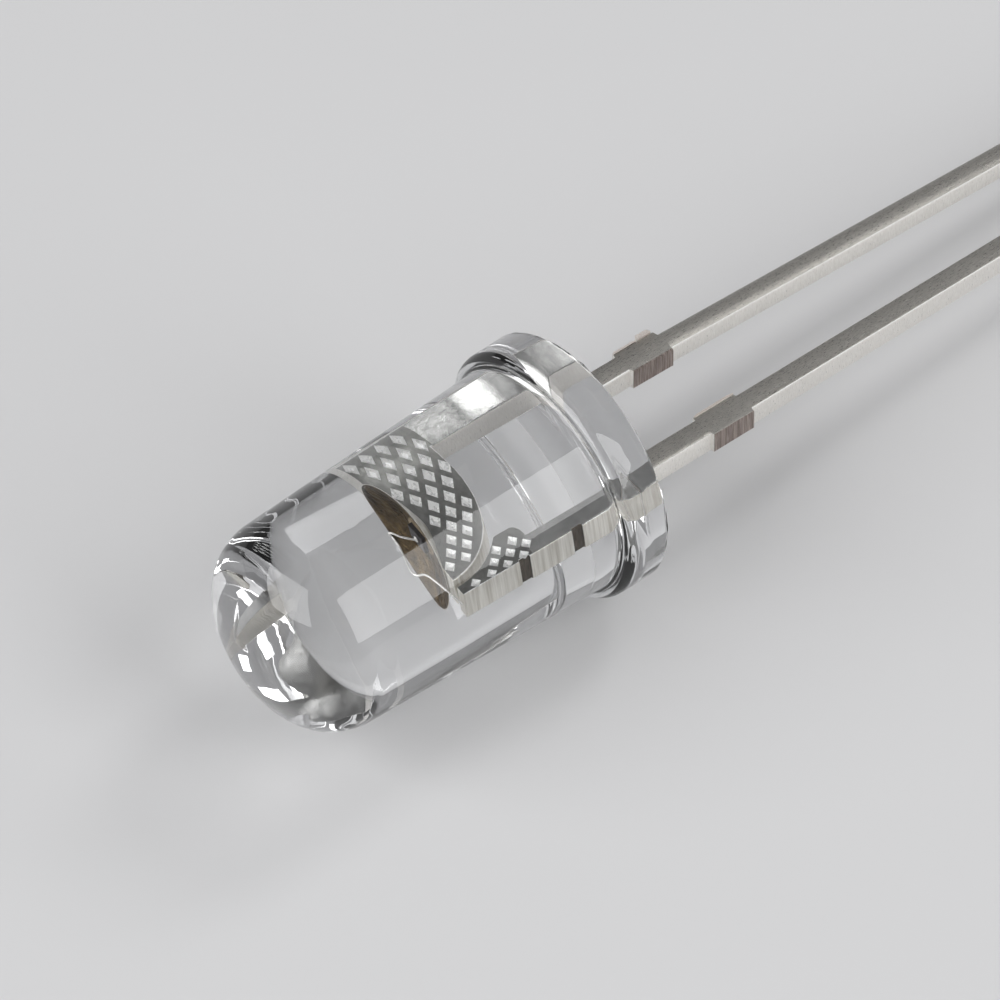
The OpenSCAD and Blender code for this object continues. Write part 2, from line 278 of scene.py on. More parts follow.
def split_at(bm, point, normal, near, clear_outer=False):
    """Splits a mesh's faces along a plane, or with clear_outer removes what lies beyond it."""
    bmesh.ops.bisect_plane(bm, geom=bm.verts[:] + bm.edges[:] + bm.faces[:], dist=near,
                           plane_co=point, plane_no=normal, clear_outer=clear_outer)


def ease_edges(bm, size, segments):
    """Bevels every edge of a mesh by one size."""
    bmesh.ops.bevel(bm, geom=bm.edges[:], offset=size, offset_type="OFFSET", segments=segments,
                    profile=0.5, affect="EDGES", material=-1)


def stamping(outline, name, roll_of):
    """Plate of the sheet's thickness; roll_of gives each top edge's roll-over at its middle."""
    bm = slab(outline, -TOP, TOP)
    weight = bm.edges.layers.float.new("bevel_weight_edge")
    for edge in bm.edges:
        middle = (edge.verts[0].co + edge.verts[1].co) / 2
        if abs(middle.z) > TOP - WELD:
            size = roll_of(middle.x, middle.y) if middle.z > 0 else SHEAR_EASE
            # A weight is the share of the widest roll-over
            edge[weight] = size / CATHODE_ROLL
    obj = as_object(bm, name)
    roll = obj.modifiers.new("roll", "BEVEL")
    roll.width = CATHODE_ROLL
    roll.segments = ROLL_STEPS
    roll.limit_method = "WEIGHT"
    roll.use_clamp_overlap = False
    settle(obj)
    return obj


def as_object(bm, name):
    """Turns a bmesh into an object of the scene."""
    mesh = bpy.data.meshes.new(name)
    bm.to_mesh(mesh)
    bm.free()
    obj = bpy.data.objects.new(name, mesh)
    bpy.context.scene.collection.objects.link(obj)
    return obj


def settle(obj):
    """Makes the result of the modifiers the object's own mesh."""
    graph = bpy.context.evaluated_depsgraph_get()
    done = bpy.data.meshes.new_from_object(obj.evaluated_get(graph))
    obj.modifiers.clear()
    old = obj.data
    obj.data = done
    bpy.data.meshes.remove(old)


def cut(obj, tool_bm, operation="DIFFERENCE"):
    """Applies one exact boolean and removes the tool."""
    tool = as_object(tool_bm, obj.name + "_tool")
    mod = obj.modifiers.new("cut", "BOOLEAN")
    mod.operation = operation
    mod.solver = "EXACT"
    mod.object = tool
    settle(obj)
    bpy.data.objects.remove(tool)


def finish_piece(obj, node, place, materials, choose=None, smooth=35):
    """Stores the maker's coordinates, lays the piece down, hangs it under the root and hides its
    CAD node.
    """
    mesh = obj.data
    mesh.name = obj.name
    made = mesh.attributes.new("made", "FLOAT_VECTOR", "POINT")
    flat = [c for v in mesh.vertices for c in v.co]
    made.data.foreach_set("vector", flat)
    for mat in materials:
        mesh.materials.append(mat)
    for poly in mesh.polygons:
        poly.use_smooth = True
        poly.material_index = choose(poly) if choose else 0
    mesh.transform(place)
    mesh.set_sharp_from_angle(angle=math.radians(smooth))
    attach(obj, "root")
    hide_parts(node)


# ---- Shader helpers ----
def node_of(tree, kind, **values):
    """Adds a node; names with spaces written as underscores set its inputs."""
    node = tree.nodes.new(kind)
    for key, value in values.items():
        if hasattr(node, key):
            setattr(node, key, value)
        else:
            node.inputs[key.replace("_", " ")].default_value = value
    return node


def grain_group():
    """Streaked grain: noise on the maker's coordinates, stretched by a scale for each axis."""
    group = bpy.data.node_groups.new("grain", "ShaderNodeTree")
    for name, kind, value in (("Stretch", "NodeSocketVector", (1, 1, 1)),
                              ("Scale", "NodeSocketFloat", 10),
                              ("Detail", "NodeSocketFloat", 5),
                              ("Low", "NodeSocketFloat", 0),
                              ("High", "NodeSocketFloat", 1)):
        socket = group.interface.new_socket(name, in_out="INPUT", socket_type=kind)
        socket.default_value = value
    group.interface.new_socket("Value", in_out="OUTPUT", socket_type="NodeSocketFloat")
    inside = node_of(group, "NodeGroupInput")
    outside = node_of(group, "NodeGroupOutput")
    made = node_of(group, "ShaderNodeAttribute", attribute_name="made")
    stretched = node_of(group, "ShaderNodeVectorMath", operation="MULTIPLY")
    noise = node_of(group, "ShaderNodeTexNoise", Roughness=0.6)
    spread = node_of(group, "ShaderNodeMapRange", From_Min=0.3, From_Max=0.7)
    for source, target in ((made.outputs["Vector"], stretched.inputs[0]),
                           (inside.outputs["Stretch"], stretched.inputs[1]),
                           (stretched.outputs[0], noise.inputs["Vector"]),
                           (inside.outputs["Scale"], noise.inputs["Scale"]),
                           (inside.outputs["Detail"], noise.inputs["Detail"]),
                           (noise.outputs["Fac"], spread.inputs["Value"]),
                           (inside.outputs["Low"], spread.inputs["To Min"]),
                           (inside.outputs["High"], spread.inputs["To Max"]),
                           (spread.outputs["Result"], outside.inputs["Value"])):
        group.links.new(source, target)
    return group


GRAIN = grain_group()


def grain(tree, stretch, scale, low=0.0, high=1.0, detail=5.0):
    """Places the grain group with its own values."""
    node = node_of(tree, "ShaderNodeGroup", node_tree=GRAIN, Stretch=stretch, Scale=scale,
                   Detail=detail, Low=low, High=high)
    return node.outputs["Value"]


def blended(tree, factor, dark, light):
    """Colour between two, by a factor that changes over the surface."""
    mix = node_of(tree, "ShaderNodeMix", data_type="RGBA")
    tree.links.new(factor, mix.inputs["Factor"])
    for socket, colour in zip([s for s in mix.inputs if s.type == "RGBA"], (dark, light)):
        socket.default_value = (*colour, 1)
    return [s for s in mix.outputs if s.type == "RGBA"][0]


def raised(tree, height, distance):
    """Relief of a height that changes over the surface, with its depth in millimetres."""
    bump = node_of(tree, "ShaderNodeBump", Strength=1.0, Distance=distance * MM)
    tree.links.new(height, bump.inputs["Height"])
    return bump.outputs["Normal"]


def new_material(name, **values):
    """Material with one Principled shader, whose plain sockets are set here."""
    mat = bpy.data.materials.new(name)
    mat.use_nodes = True
    shader = mat.node_tree.nodes["Principled BSDF"]
    for key, value in values.items():
        shader.inputs[key.replace("_", " ")].default_value = value
    return mat, mat.node_tree, shader


# How the grain is stretched: the same each way, lines along the lead, or lines through the sheet
EVEN = (1, 1, 1)
DRAWN = (1, 6, 6)
SHEARED = (9, 9, 1)


def metal(name, dark, light, rough, streaks, bump, scale=6.0, metallic=1.0):
    """Plated or sheared metal: streaked colour, finer roughness and still finer relief."""
    mat, tree, shader = new_material(name, Metallic=metallic)
    colour = blended(tree, grain(tree, streaks, scale), dark, light)
    tree.links.new(colour, shader.inputs["Base Color"])
    tree.links.new(grain(tree, streaks, scale * 1.7, *rough), shader.inputs["Roughness"])
    tree.links.new(raised(tree, grain(tree, streaks, scale * 2.5), bump), shader.inputs["Normal"])
    return mat


def clear_epoxy():
    """Water-clear epoxy with a faint tint and a skin that is nearly smooth."""
    mat, tree, shader = new_material("clear_epoxy", IOR=1.53, Transmission_Weight=1.0)
    colour = blended(tree, grain(tree, EVEN, 0.4), (0.965, 0.97, 0.98), (0.985, 0.99, 0.995))
    tree.links.new(colour, shader.inputs["Base Color"])
    tree.links.new(grain(tree, EVEN, 0.9, 0.0, 0.006), shader.inputs["Roughness"])
    skin = raised(tree, grain(tree, (0.4, 1, 1), 0.7, detail=0.5), 0.006)
    tree.links.new(skin, shader.inputs["Normal"])
    return mat


def chip_die():
    """Dark semiconductor with a satin face."""
    mat, tree, shader = new_material("chip_die")
    colour = blended(tree, grain(tree, EVEN, 9), (0.02, 0.018, 0.02), (0.06, 0.055, 0.06))
    tree.links.new(colour, shader.inputs["Base Color"])
    tree.links.new(grain(tree, EVEN, 14, 0.25, 0.5), shader.inputs["Roughness"])
    return mat


def silver_adhesive():
    """Cured adhesive with silver flakes, dull and golden brown."""
    mat, tree, shader = new_material("silver_adhesive", Metallic=0.35)
    colour = blended(tree, grain(tree, EVEN, 12), (0.20, 0.14, 0.08), (0.52, 0.42, 0.28))
    tree.links.new(colour, shader.inputs["Base Color"])
    tree.links.new(grain(tree, EVEN, 20, 0.35, 0.65), shader.inputs["Roughness"])
    tree.links.new(raised(tree, grain(tree, EVEN, 30), 0.01), shader.inputs["Normal"])
    return mat


# Slots of a stamping's faces, in the order in which its materials are added
FACE_AND_SHADE, SIDE_AND_LIGHT, STUB, RIDGE, PIT_LIGHT, POST_SIDE, NICK_SHADE, BURR, BOWL_SHADE, KNURL_SHADE, ROLL_HIGHLIGHT = range(11)
STAMPED = [
    # plated_face_and_painted_shade: warm grey plating of the outer tops, kept darker partly as
    # painted shade of the tops
    metal("plated_face_and_painted_shade", dark=(0.41, 0.395, 0.365), light=(0.56, 0.54, 0.50),
          rough=(0.24, 0.38), streaks=DRAWN, bump=0.004),
    # cut_side_and_painted_light: pale sheared metal of the sides, lighter than the tops partly as
    # painted light
    metal("cut_side_and_painted_light", dark=(0.80, 0.775, 0.73), light=(0.98, 0.96, 0.92),
          rough=(0.26, 0.42), streaks=SHEARED, bump=0.005, metallic=0.7),
    metal("torn_stub", dark=(0.12, 0.09, 0.08), light=(0.56, 0.48, 0.44),
          rough=(0.32, 0.55), streaks=(9, 9, 0.5), bump=0.02, scale=3.0),
    metal("coined_ridge", dark=(0.44, 0.44, 0.43), light=(0.62, 0.62, 0.60),
          rough=(0.19, 0.26), streaks=EVEN, bump=0.0007),
    # coined_pit_painted_light: near-white, low-metallic pit facets, painted light on the same
    # coined metal
    metal("coined_pit_painted_light", dark=(0.86, 0.86, 0.84), light=(0.98, 0.98, 0.97),
          rough=(0.22, 0.36), streaks=EVEN, bump=0.002, metallic=0.3),
    metal("post_side", dark=(0.62, 0.59, 0.52), light=(0.99, 0.97, 0.91),
          rough=(0.28, 0.42), streaks=(9, 9, 0.6), bump=0.004, scale=1.2),
    # nick_painted_shade: near-black faces of the nicks, painted shade in the recesses
    metal("nick_painted_shade", dark=(0.05, 0.04, 0.03), light=(0.16, 0.13, 0.10),
          rough=(0.35, 0.5), streaks=SHEARED, bump=0.004),
    metal("bright_burr", dark=(0.72, 0.64, 0.58), light=(0.95, 0.90, 0.85),
          rough=(0.3, 0.5), streaks=(6, 6, 6), bump=0.01, metallic=0.6),
    # cup_wall: the cup's inside, near black to dark brown, painted shade of the hollow
    metal("cup_wall", dark=(0.006, 0.004, 0.003), light=(0.20, 0.14, 0.07),
          rough=(0.24, 0.42), streaks=EVEN, bump=0.03, scale=3.5),
    # pit_ground_painted_shade: the ground between the pits, darker than the coined ridge, painted
    # shade that dims its highlights
    metal("pit_ground_painted_shade", dark=(0.22, 0.22, 0.21), light=(0.34, 0.34, 0.32),
          rough=(0.30, 0.42), streaks=EVEN, bump=0.002),
    # painted_highlight_edge: a near-white strip on the leads' rolled corners, a painted highlight
    metal("painted_highlight_edge", dark=(0.88, 0.87, 0.84), light=(1.0, 0.99, 0.97),
          rough=(0.2, 0.3), streaks=DRAWN, bump=0.002, metallic=0.15),
]
EPOXY = clear_epoxy()
DIE = chip_die()
ADHESIVE = silver_adhesive()
WIRE = metal("drawn_wire", dark=(0.90, 0.89, 0.86), light=(0.99, 0.98, 0.96),
             rough=(0.15, 0.3), streaks=EVEN, bump=0.001, metallic=0.4)


# ---- Cast body ----
def casting_profile():
    """Half outline of the body: sunken base, flange, fillet, drafted wall, shoulder and cap."""
    tan, cos, sin = math.tan(DRAFT), math.cos(DRAFT), math.sin(DRAFT)
    wall_r = BODY_R + FLANGE_T * tan
    cap_x = BODY_H - CAP_R
    arm = wall_r - SHOULDER_R / cos
    half_b = arm * tan + cap_x
    beyond = arm ** 2 + cap_x ** 2 - (CAP_R - SHOULDER_R) ** 2
    root = math.sqrt(half_b ** 2 - (1 + tan ** 2) * beyond)
    shoulder_x = (half_b + root) / (1 + tan ** 2)
    shoulder = (shoulder_x, arm - shoulder_x * tan)
    cap_angle = math.degrees(math.atan2(shoulder[1], shoulder_x - cap_x))
    fillet = (FLANGE_T + FOOT_FILLET, wall_r + FOOT_FILLET / cos - (FLANGE_T + FOOT_FILLET) * tan)
    sink_r = (FLANGE_R ** 2 + BASE_SINK ** 2) / (2 * BASE_SINK)
    base = [(BASE_SINK - FLANGE_R ** 2 * (k / BASE_STEPS) ** 2 / (2 * sink_r),
             FLANGE_R * k / BASE_STEPS) for k in range(BASE_STEPS)]
    draft = math.degrees(DRAFT)
    front_edge = (FLANGE_T - FLANGE_ROUND, FLANGE_R - FLANGE_ROUND)
    return (base
            + [(0, FLANGE_R), (FLANGE_T - FLANGE_ROUND, FLANGE_R)]
            + arc(front_edge, FLANGE_ROUND, 90, 0, SMALL_ARC)[1:]
            + arc(fillet, FOOT_FILLET, 180, 270 - draft, SMALL_ARC)
            + arc(shoulder, SHOULDER_R, 90 - draft, cap_angle, WIDE_ARC)
            + arc((cap_x, 0), CAP_R, cap_angle, 0, WIDE_ARC)[1:])


def ragged(along, rags):
    """Irregular value from 0 to 1 along an edge, the same on each run."""
    slow = math.sin(rags * along)
    quick = math.sin(RAG_RATIO * rags * along + RAG_SHIFT)
    return 0.5 + 0.25 * slow + 0.25 * quick


def ripple_dome(place):
    """Draws the underside of the dome in by the unevenness of the mould."""
    below = min(1, max(0, -place.z - WAVE_BELOW))
    ahead = min(1, max(0, place.x - (BODY_H - BODY_R)) / WAVE_EASE)
    wave = (math.sin(WAVE_ACROSS * place.y + WAVE_SHIFT)
            + math.sin(WAVE_ALONG * place.x + WAVE_SKEW * place.y))
    swell = 1 - MOULD_WAVE * (below * ahead) * (2 + wave) / 4
    place.y *= swell
    place.z *= swell


def raise_flash(place):
    """Pushes a point of the base's rim back and out by the flash."""
    angle = math.atan2(place.z, place.y)
    flash = ragged(angle, FLASH_RAGS[0]) * ragged(angle, FLASH_RAGS[1])
    place.x -= FLASH_BACK * flash
    place.y += FLASH_OUT * flash * math.cos(angle)
    place.z += FLASH_OUT * flash * math.sin(angle)


def climb_leads(place):
    """Draws the base's face back along each lead in a small meniscus."""
    for lead_y in (-LEAD_Y, LEAD_Y):
        away = max(abs(place.y - lead_y), abs(place.z)) - LEAD_W / 2
        climb = max(0, 1 - max(away, 0) / (MENISCUS_R - LEAD_W / 2))
        place.x -= MENISCUS_H * climb ** 2


def cast_body():
    """The one casting: a turned body with mould ripple, flash, menisci and the flange's flat."""
    bm = revolve(casting_profile(), BODY_STEPS)
    for vert in bm.verts:
        ripple_dome(vert.co)
        if vert.co.x > BASE_SINK + TOUCH:
            continue
        if math.hypot(vert.co.y, vert.co.z) > FLANGE_R - HAIR and vert.co.x < TOUCH:
            raise_flash(vert.co)
        climb_leads(vert.co)
    split_at(bm, (0, -(BODY_R + FLAT_STEP), 0), (0, -1, 0), WELD, clear_outer=True)
    open_edges = [e for e in bm.edges if e.is_boundary]
    bmesh.ops.holes_fill(bm, edges=open_edges, sides=0)
    bmesh.ops.recalc_face_normals(bm, faces=bm.faces)
    finish_piece(as_object(bm, "clear_casting"), "epoxy_body", BODY_PLACE, [EPOXY], smooth=30)


# ---- Stampings ----
def lead_outline(length, toe, lead_y):
    """A lead's outline, down its side at the higher y to the tip, and back up the other side."""
    def bent(x, y):
        if x >= BEND_X:
            return (x, y + lead_y)
        c, s = math.cos(toe), math.sin(toe)
        return (BEND_X + (x - BEND_X) * c + y * s, (BEND_X - x) * s + y * c + lead_y)
    half, stub = LEAD_W / 2, LEAD_W / 2 + DAM_STUB
    side = [(STUB_TOP, half), (STUB_TOP - STUB_TAPER, stub), (STUB_END + STUB_TAPER, stub),
            (STUB_END, half), (-length, half)]
    return [bent(x, y) for x, y in side] + [bent(x, -y) for x, y in reversed(side)]


def pit_places():
    """Places of the pits on a lattice turned by 45 degrees, for the anvil and for the post.

    The anvil's pits end inside its edges, and the post's may run over its outer edge.
    """
    half = PIT_W / math.sqrt(2)
    clear = half + PIT_MARGIN
    reach = math.ceil(math.hypot(ANVIL_R, 2 * OUTER_Y) / PIT_PITCH)
    step = PIT_PITCH / math.sqrt(2)
    anvil, post = [], []
    for i in range(-reach, reach + 1):
        for j in range(-reach, reach + 1):
            x = CUP_TOP - PIT_FROM_RIM + step * (i + j)
            y = -PIT_FROM_AXIS + step * (i - j)
            corner = math.hypot(x - CUP_TOP, y - ARC_Y)
            bowl = CUP_R - (CUP_TOP - x - clear) * CUP_SLOPE
            bowl_half = math.sqrt(max(bowl ** 2 - TOP ** 2, 0)) if bowl > 0 else 0
            beside_bowl = bowl_half == 0 or abs(y - CUP_Y) > bowl_half + half
            if (CUP_TOP - ANVIL_R + clear < x < CUP_TOP - clear and y > -OUTER_Y + clear
                    and (y < ARC_Y or corner < ANVIL_R - clear) and beside_bowl):
                anvil.append((x, y))
            if (POST_FOOT + clear < x < CUP_TOP - clear and corner > POST_ARC_R + clear
                    and OUTER_Y - POST_W + clear < y < OUTER_Y + half / 2):
                post.append((x, y))
    return anvil, post


def pit_cutters(places):
    """A small pyramid frustum for each pit, from its floor to as far above the face."""
    bm = bmesh.new()
    slope = (PIT_W - PIT_FLOOR_W) / (2 * PIT_DEPTH)
    top_w = PIT_W + 2 * slope * PIT_DEPTH
    for x, y in places:
        bmesh.ops.create_cone(bm, cap_ends=True, cap_tris=False, segments=4,
                              radius1=PIT_FLOOR_W / math.sqrt(2), radius2=top_w / math.sqrt(2),
                              depth=2 * PIT_DEPTH, matrix=Matrix.Translation((x, y, TOP)))
    return bm


def cup_turning(profile, steps=CUP_STEPS):
    """Revolves a profile about the cup's axis."""
    bm = revolve(profile, steps)
    bmesh.ops.translate(bm, verts=bm.verts, vec=(0, CUP_Y, 0))
    return bm


def cup_wall():
    """The pressed cup: flat floor, sloping wall, eased lip and the bulge behind it."""
    foot_x = CUP_TOP - (CUP_R - BOWL_FOOT_R) / CUP_SLOPE
    foot = [(CUP_FLOOR + x, CUP_FLOOR_R + r) for x, r in CUP_FOOT_STEPS]
    lip = [(CUP_TOP - LIP_EASE, CUP_MOUTH_R - LIP_EASE * CUP_SLOPE),
           (CUP_TOP - LIP_STEP[0], CUP_MOUTH_R + LIP_STEP[1]), (CUP_TOP, CUP_MOUTH_R + LIP_EASE)]
    rim = [(CUP_TOP - x, CUP_R - r) for x, r in RIM_STEPS]
    bulge = [(CUP_TOP - RIM_EASE, CUP_R - RIM_EASE * CUP_SLOPE), (foot_x, BOWL_FOOT_R), (foot_x, 0)]
    return cup_turning([(CUP_FLOOR, 0)] + foot + lip + rim + bulge)


def cup_hollow():
    """What is cut from the plate before the cup's wall is set in."""
    mouth = CUP_MOUTH_R + CUP_RIM / 2 + HOLLOW_OVER * CUP_SLOPE
    return cup_turning([(CUP_FLOOR - HOLLOW_UNDER, 0), (CUP_FLOOR - HOLLOW_UNDER, CUP_FLOOR_R),
                        (CUP_TOP + HOLLOW_OVER, mouth), (CUP_TOP + HOLLOW_OVER, 0)])


def burr(edge_y, x0, x1, width, high, start):
    """Ragged fin along a sheared edge on the far side of a stub."""
    outer = []
    for k in range(BURR_STEPS + 1):
        taper = min(1, BURR_TAPER * min(k, BURR_STEPS - k) / BURR_STEPS)
        rag = width * taper * ragged(k + start, BURR_RAGS)
        outer.append((x0 + (x1 - x0) * k / BURR_STEPS, edge_y - rag - BURR_ROOT))
    inner = [(x1, edge_y + BURR_BITE), (x0, edge_y + BURR_BITE)]
    bm = slab(outer + inner, TOP - BURR_DEEP, TOP + high)
    ease_edges(bm, BURR_EASE, 1)
    return bm


def scribe(obj):
    """Splits faces where the finish or the painted shade changes: anvil's foot, base, stub's ends;
    clears slivers.
    """
    bm = bmesh.new()
    bm.from_mesh(obj.data)
    for x in (ANVIL_FOOT, 0, STUB_TOP, STUB_END):
        split_at(bm, (x, 0, 0), (1, 0, 0), ON_PLANE)
    bmesh.ops.dissolve_degenerate(bm, edges=bm.edges, dist=SLIVER)
    bm.to_mesh(obj.data)
    bm.free()


def is_burr(y, z):
    """Whether a face beside the stubs is part of a burr."""
    edges = [lead_y - LEAD_W / 2 - DAM_STUB for lead_y in (-LEAD_Y, LEAD_Y)]
    beside = any(edge - BURR_REACH < y < edge - 3 * HAIR for edge in edges)
    return z > 0 and (z > TOP + 2 * HAIR or beside)


def slot_of(poly):
    """Which finish a stamped face has, painted highlights and painted shades among them."""
    x, y, z = poly.center
    normal = poly.normal
    flat = abs(normal.z) > FLAT
    in_stub = STUB_END - NEAR < x < STUB_TOP + NEAR
    below_face = TOP - PIT_DEPTH - HAIR < z < TOP - HAIR and x < CUP_TOP - PIT_BELOW
    in_pit = below_face and normal.z > PIT_UP
    in_nick = any(abs(x - n) < NICK_W / 2 for n in NICKS) and y > OUTER_Y - NICK_DEPTH - NEAR
    if in_stub and is_burr(y, z):
        return BURR
    # Pit facets get the near-white painted light
    if x > POST_FOOT and in_pit:
        return PIT_LIGHT
    if x > POST_FOOT and flat:
        # Top faces of the anvil and the post get the darker ground, painted shade between the pits
        return KNURL_SHADE if normal.z > 0 and (x > ANVIL_FOOT or y > 0) else RIDGE
    if flat:
        # Outer tops get the plated grey, darker partly as painted shade
        return RIDGE if x > 0 else FACE_AND_SHADE
    # Faces of the nicks get the near-black painted shade
    if in_nick:
        return NICK_SHADE
    # Rolled faces of the leads get the near-white painted highlight
    if x < 0 and not in_stub and normal.y > ROLL_SIDE and normal.z > ROLL_UP:
        return ROLL_HIGHLIGHT
    if x > 0 and y > 0:
        return POST_SIDE
    # Stub faces get the torn finish; other sides the pale sheared metal, lighter partly as painted
    # light
    return STUB if in_stub and abs(normal.x) < END_ON else SIDE_AND_LIGHT


def slot_of_cathode(poly):
    """The same, with the inside of the cup in a dark brown of its own, painted shade of the hollow.
    """
    x, y, z = poly.center
    inside = CUP_R - (CUP_TOP - x) * CUP_SLOPE - CUP_RIM / 2
    if x > CUP_FLOOR - NEAR and math.hypot(y - CUP_Y, z) < inside and poly.normal.x > 0:
        return BOWL_SHADE
    return slot_of(poly)


def cathode_roll(x, y):
    """Roll-over of the cathode's top edges: wide on the side that faces the anode."""
    if x > 0:
        return ANVIL_EASE
    return CATHODE_ROLL if y > -LEAD_Y and not STUB_END < x < STUB_TOP else CATHODE_EASE


def anode_roll(x, y):
    """Roll-over of the anode's top edges: wide on the outer side, from the base to the stub."""
    if x > 0:
        return POST_EASE
    return ANODE_ROLL if y > LEAD_Y and x > STUB_TOP else ANODE_EASE


def cathode():
    """The cathode's stamping: lead, stubs, anvil with coined pits, and the reflector cup."""
    start = 90 + math.degrees(math.asin(CUP_PROUD / ANVIL_R))
    outline = ([(CUP_TOP - ANVIL_R, -LEAD_Y + LEAD_W / 2)]
               + lead_outline(CATHODE_LEN, CATHODE_TOE, -LEAD_Y)
               + [(CUP_TOP - CUP_PROUD, -OUTER_Y)]
               + arc((CUP_TOP, ARC_Y), ANVIL_R, start, 180, WIDE_ARC))
    obj = stamping(outline, "cathode_stamping", cathode_roll)
    anvil_pits, _ = pit_places()
    cut(obj, pit_cutters(anvil_pits))
    cut(obj, cup_hollow())
    cut(obj, cup_wall(), "UNION")
    for sizes in (CATHODE_BURR, CATHODE_KNOB):
        cut(obj, burr(-OUTER_Y - DAM_STUB, *sizes), "UNION")
    scribe(obj)
    finish_piece(obj, "cathode_lead", LEAD_PLACE, STAMPED, slot_of_cathode)


def anode():
    """The anode's stamping: lead, stubs, and the post with its coined pits and two nicks."""
    low = OUTER_Y - POST_W
    start = math.degrees(math.acos((low - ARC_Y) / POST_ARC_R)) + 90
    nicks = []
    for x in reversed(NICKS):
        nicks += [(x - NICK_W / 2, OUTER_Y), (x - NICK_W / 2 + NICK_TAPER, OUTER_Y - NICK_DEPTH),
                  (x + NICK_W / 2 - NICK_TAPER, OUTER_Y - NICK_DEPTH), (x + NICK_W / 2, OUTER_Y)]
    outline = (arc((POST_FOOT + POST_CORNER, low + POST_CORNER), POST_CORNER, 270, 180, SMALL_ARC)
               + [(POST_FOOT, LEAD_Y - LEAD_W / 2)]
               + lead_outline(ANODE_LEN, 0, LEAD_Y)[::-1]
               + nicks
               + [(CUP_TOP, OUTER_Y)]
               + arc((CUP_TOP, ARC_Y), POST_ARC_R, 90, start, POST_ARC))
    obj = stamping(outline, "anode_stamping", anode_roll)
    _, post_pits = pit_places()
    cut(obj, pit_cutters(post_pits))
    cut(obj, burr(LEAD_Y - LEAD_W / 2 - DAM_STUB, *ANODE_BURR), "UNION")
    scribe(obj)
    finish_piece(obj, "anode_lead", LEAD_PLACE, STAMPED, slot_of)


# ---- Chip, adhesive and wire ----
def chip():
    """The die, a square block with eased edges."""
    bm = bmesh.new()
    middle = Matrix.Translation((GLUE_TOP + CHIP_T / 2, CUP_Y, 0))
    bmesh.ops.create_cube(bm, size=1, matrix=middle @ Matrix.Diagonal((CHIP_T, CHIP_W, CHIP_W, 1)))
    ease_edges(bm, CHIP_EASE, 2)
    finish_piece(as_object(bm, "chip_on_cup"), "led_chip", LEAD_PLACE, [DIE])


def adhesive():
    """The flat fillet of adhesive that the die sits in."""
    corner = CHIP_W / math.sqrt(2)
    bm = cup_turning([(CUP_FLOOR, 0), (CUP_FLOOR, corner + GLUE_SPREAD),
                      (CUP_FLOOR + GLUE_FOOT[0], corner + GLUE_FOOT[1]),
                      (GLUE_TOP + GLUE_CLIMB[0], corner + GLUE_CLIMB[1]),
                      (GLUE_TOP + GLUE_CROWN, 0)], GLUE_STEPS)
    piece = as_object(bm, "adhesive_fillet")
    finish_piece(piece, "chip_adhesive", LEAD_PLACE, [ADHESIVE], smooth=60)


def wire_route():
    """Mesh of the wire: a smooth curve with a round section, from the ball to the post."""
    land = Vector((CUP_TOP + WIRE_D / 2 + WIRE_LIFT, OUTER_Y - POST_TIP_W / 2, 0))
    foot = Vector((0, WIRE_FOOT, 0))
    points = [Vector((CHIP_TOP + BALL_H * WIRE_START, CUP_Y, 0))]
    points += [Vector((CHIP_TOP + x, CUP_Y + y, z)) for x, y, z in WIRE_RISE]
    points += [land - foot, land + foot]
    curve = bpy.data.curves.new("route", "CURVE")
    curve.dimensions = "3D"
    curve.bevel_depth = WIRE_D / 2
    curve.bevel_resolution = 4
    curve.resolution_u = 8
    curve.use_fill_caps = True
    spline = curve.splines.new("NURBS")
    spline.points.add(len(points) - 1)
    for slot, point in zip(spline.points, points):
        slot.co = (*point, 1)
    spline.use_endpoint_u = True
    spline.order_u = 3
    holder = bpy.data.objects.new("route", curve)
    bpy.context.scene.collection.objects.link(holder)
    graph = bpy.context.evaluated_depsgraph_get()
    mesh = bpy.data.meshes.new_from_object(holder.evaluated_get(graph))
    bpy.data.objects.remove(holder)
    return mesh


def wire():
    """The bond wire with the flattened ball at its start."""
    bm = bmesh.new()
    bm.from_mesh(wire_route())
    bmesh.ops.remove_doubles(bm, verts=bm.verts, dist=WELD)
    bmesh.ops.recalc_face_normals(bm, faces=bm.faces)
    middle = Matrix.Translation((CHIP_TOP + BALL_H * BALL_MIDDLE, CUP_Y, 0))
    bmesh.ops.create_uvsphere(bm, u_segments=24, v_segments=14, radius=BALL_D / 2,
                              matrix=middle @ Matrix.Diagonal((BALL_SQUASH, 1, 1, 1)))
    finish_piece(as_object(bm, "bonded_wire"), "bond_wire", LEAD_PLACE, [WIRE], smooth=60)


# ---- Floor, light and camera ----
# Half the floor's side, in metres, and its grey and the world's
FLOOR_HALF = 1.5
FLOOR_GREY = (0.67, 0.67, 0.675, 1)
WORLD_GREY = (0.255, 0.255, 0.26, 1)

# The camera: its distance and the width that it takes in there, in millimetres; how far its aim
# lies to the left of the base's middle and below it; the slope of the body's axis in the view;
# the angle between the line of sight and that axis; and the turn of the sight line about it
SIGHT_DISTANCE = 180.0
SIGHT_WIDTH = 20.717
AIM_LEFT = 1.539
AIM_DOWN = 0.894
AXIS_SLOPE = math.radians(32.0155)
SIGHT_ANGLE = math.radians(63.3428)
SIGHT_TURN = math.radians(52.25)


def floor():
    """A plain pale floor."""
    bm = bmesh.new()
    bmesh.ops.create_grid(bm, x_segments=1, y_segments=1, size=FLOOR_HALF)
    obj = as_object(bm, "floor")
    mat, _, _ = new_material("floor_paper", Roughness=0.9, Base_Color=FLOOR_GREY)
    obj.data.materials.append(mat)


